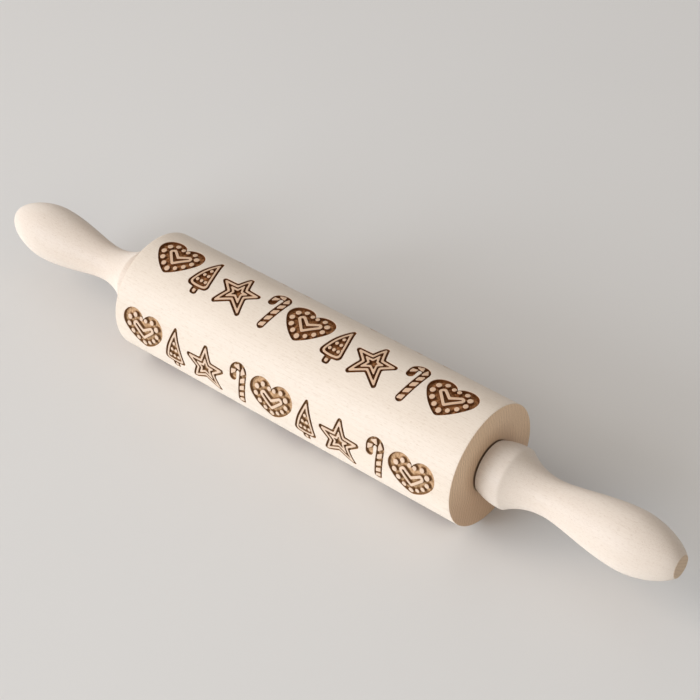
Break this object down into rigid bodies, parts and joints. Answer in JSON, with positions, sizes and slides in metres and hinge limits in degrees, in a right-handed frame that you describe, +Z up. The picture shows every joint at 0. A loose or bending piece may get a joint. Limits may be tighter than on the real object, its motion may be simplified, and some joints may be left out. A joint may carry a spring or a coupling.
{
  "type": "embossed rolling pin",
  "caption": "Wooden rolling pin with turned handles and a roller engraved with rows of hearts, trees, stars and canes, turning on a hidden steel axle.",
  "frame": {"origin": "on the surface that the pin lies on, under the middle of the roller", "axes": "+X along the pin, towards its right-hand handle; +Z up; -Y is the side that the engraving faces in the picture"},
  "size_m": [0.4014, 0.06, 0.06],
  "materials": {
    "roller_wood": "bare beech, fine sanded",
    "handle_wood": "bare beech, fine sanded",
    "steel": "drawn steel",
    "nylon": "natural nylon, matt"
  },
  "bodies": {
    "roller": {"roller": "roller_wood", "bush_left": "nylon", "bush_right": "nylon"},
    "spindle": {"axle": "steel", "washer_left": "steel", "washer_right": "steel", "handle_left": "handle_wood", "handle_right": "handle_wood"}
  },
  "joints": [
    {"name": "handle_spin", "type": "hinge", "parent": "roller", "child": "spindle", "pos_m": [0, 0, 0.03], "axis": [1, 0, 0], "continuous": true}
  ]
}
